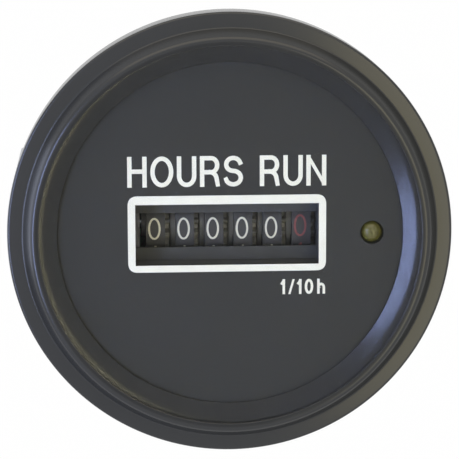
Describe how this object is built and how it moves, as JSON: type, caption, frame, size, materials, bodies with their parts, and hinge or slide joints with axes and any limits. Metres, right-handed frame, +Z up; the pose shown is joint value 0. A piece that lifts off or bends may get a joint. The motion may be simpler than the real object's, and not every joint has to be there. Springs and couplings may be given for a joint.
{
  "type": "panel hour meter",
  "caption": "Round black panel hour meter with a clear lens, a wheel counter behind a framed window, a running lamp, rear blade terminals and a clamp bracket.",
  "frame": {"origin": "on the meter's axis, in the plane of the bezel's rear face where it meets the panel", "axes": "+X to the reader's right, +Y into the panel along the axis, +Z up"},
  "size_m": [0.058, 0.053, 0.058],
  "materials": {
    "bezel_plastic": "fine satin black",
    "clear_lens": "clear polished",
    "ring_plastic": "satin black",
    "dial_plastic": "matt black, printed",
    "gasket_rubber": "matt",
    "case_plastic": "fine texture black",
    "lamp_plastic": "tinted translucent yellow",
    "tinned_wire": "tinned",
    "frame_steel": "plated sheet",
    "screw_steel": "zinc plated",
    "shaft_steel": "ground",
    "wheel_plastic": "satin black, printed numbers",
    "gear_plastic": "natural moulded",
    "magnet_ferrite": "matt ferrite",
    "lamination_steel": "punched lamination",
    "bobbin_plastic": "moulded",
    "copper_wire": "enamelled copper",
    "board_laminate": "solder mask green",
    "chip_plastic": "moulded black",
    "can_steel": "drawn can",
    "capacitor_sleeve": "sleeved can",
    "resistor_body": "lacquered",
    "tinned_brass": "tin plated",
    "zinc_steel": "bright zinc plated"
  },
  "bodies": {
    "meter": {"bezel": "bezel_plastic", "lens": "clear_lens", "reflector_ring": "ring_plastic", "dial": "dial_plastic", "dial_gasket": "gasket_rubber", "case": "case_plastic", "lamp": "lamp_plastic", "lamp_leads": "tinned_wire", "counter_frame": "frame_steel", "dial_screws": "screw_steel", "wheel_shaft": "shaft_steel", "pinion_shaft": "shaft_steel", "rotor_pin": "shaft_steel", "stator": "lamination_steel", "coil_core": "lamination_steel", "coil_bobbin": "bobbin_plastic", "coil_winding": "copper_wire", "stator_screws": "screw_steel", "board": "board_laminate", "chip": "chip_plastic", "crystal": "can_steel", "capacitor": "capacitor_sleeve", "resistor": "resistor_body", "diode": "chip_plastic", "board_screws": "screw_steel", "terminals": "tinned_brass", "studs": "zinc_steel"},
    "tenths_wheel": {"wheel_tenths": "wheel_plastic"},
    "units_wheel": {"wheel_1": "wheel_plastic"},
    "tens_wheel": {"wheel_10": "wheel_plastic"},
    "hundreds_wheel": {"wheel_100": "wheel_plastic"},
    "thousands_wheel": {"wheel_1000": "wheel_plastic"},
    "ten_thousands_wheel": {"wheel_10000": "wheel_plastic"},
    "transfer_pinion_1": {"pinion_1": "gear_plastic"},
    "transfer_pinion_10": {"pinion_10": "gear_plastic"},
    "transfer_pinion_100": {"pinion_100": "gear_plastic"},
    "transfer_pinion_1000": {"pinion_1000": "gear_plastic"},
    "transfer_pinion_10000": {"pinion_10000": "gear_plastic"},
    "idler": {"idler_gear": "gear_plastic"},
    "rotor": {"rotor": "gear_plastic", "rotor_magnet": "magnet_ferrite"},
    "clamp": {"clamp_bracket": "zinc_steel", "lock_washers": "zinc_steel", "clamp_nuts": "zinc_steel"}
  },
  "joints": [
    {"name": "wheel_tenths_turn", "type": "hinge", "parent": "meter", "child": "tenths_wheel", "pos_m": [0, 0.0064, 0], "axis": [-1, 0, 0], "continuous": true},
    {"name": "wheel_1_turn", "type": "hinge", "parent": "meter", "child": "units_wheel", "pos_m": [0, 0.0064, 0], "axis": [-1, 0, 0], "continuous": true},
    {"name": "wheel_10_turn", "type": "hinge", "parent": "meter", "child": "tens_wheel", "pos_m": [0, 0.0064, 0], "axis": [-1, 0, 0], "continuous": true},
    {"name": "wheel_100_turn", "type": "hinge", "parent": "meter", "child": "hundreds_wheel", "pos_m": [0, 0.0064, 0], "axis": [-1, 0, 0], "continuous": true},
    {"name": "wheel_1000_turn", "type": "hinge", "parent": "meter", "child": "thousands_wheel", "pos_m": [0, 0.0064, 0], "axis": [-1, 0, 0], "continuous": true},
    {"name": "wheel_10000_turn", "type": "hinge", "parent": "meter", "child": "ten_thousands_wheel", "pos_m": [0, 0.0064, 0], "axis": [-1, 0, 0], "continuous": true},
    {"name": "pinion_1_turn", "type": "hinge", "parent": "meter", "child": "transfer_pinion_1", "pos_m": [0, 0.0134, 0], "axis": [-1, 0, 0], "continuous": true},
    {"name": "pinion_10_turn", "type": "hinge", "parent": "meter", "child": "transfer_pinion_10", "pos_m": [0, 0.0134, 0], "axis": [-1, 0, 0], "continuous": true},
    {"name": "pinion_100_turn", "type": "hinge", "parent": "meter", "child": "transfer_pinion_100", "pos_m": [0, 0.0134, 0], "axis": [-1, 0, 0], "continuous": true},
    {"name": "pinion_1000_turn", "type": "hinge", "parent": "meter", "child": "transfer_pinion_1000", "pos_m": [0, 0.0134, 0], "axis": [-1, 0, 0], "continuous": true},
    {"name": "pinion_10000_turn", "type": "hinge", "parent": "meter", "child": "transfer_pinion_10000", "pos_m": [0, 0.0134, 0], "axis": [-1, 0, 0], "continuous": true},
    {"name": "idler_turn", "type": "hinge", "parent": "meter", "child": "idler", "pos_m": [0, 0.0134, 0], "axis": [-1, 0, 0], "continuous": true},
    {"name": "rotor_turn", "type": "hinge", "parent": "meter", "child": "rotor", "pos_m": [0, 0.0134, 0.008], "axis": [-1, 0, 0], "continuous": true},
    {"name": "clamp_slide", "type": "slide", "parent": "meter", "child": "clamp", "axis": [0, 1, 0], "range_m": [-0.0018, 0.0045]}
  ],
  "couplings": [
    {"joint": "wheel_1_turn", "follows": "wheel_tenths_turn", "ratio": 0.1},
    {"joint": "wheel_10_turn", "follows": "wheel_tenths_turn", "ratio": 0.01},
    {"joint": "wheel_100_turn", "follows": "wheel_tenths_turn", "ratio": 0.001},
    {"joint": "wheel_1000_turn", "follows": "wheel_tenths_turn", "ratio": 0.0001},
    {"joint": "wheel_10000_turn", "follows": "wheel_tenths_turn", "ratio": 0.00001},
    {"joint": "pinion_1_turn", "follows": "wheel_tenths_turn", "ratio": -0.25},
    {"joint": "pinion_10_turn", "follows": "wheel_tenths_turn", "ratio": -0.025},
    {"joint": "pinion_100_turn", "follows": "wheel_tenths_turn", "ratio": -0.0025},
    {"joint": "pinion_1000_turn", "follows": "wheel_tenths_turn", "ratio": -0.00025},
    {"joint": "pinion_10000_turn", "follows": "wheel_tenths_turn", "ratio": -0.000025},
    {"joint": "idler_turn", "follows": "wheel_tenths_turn", "ratio": -2.5},
    {"joint": "rotor_turn", "follows": "wheel_tenths_turn", "ratio": 10}
  ]
}
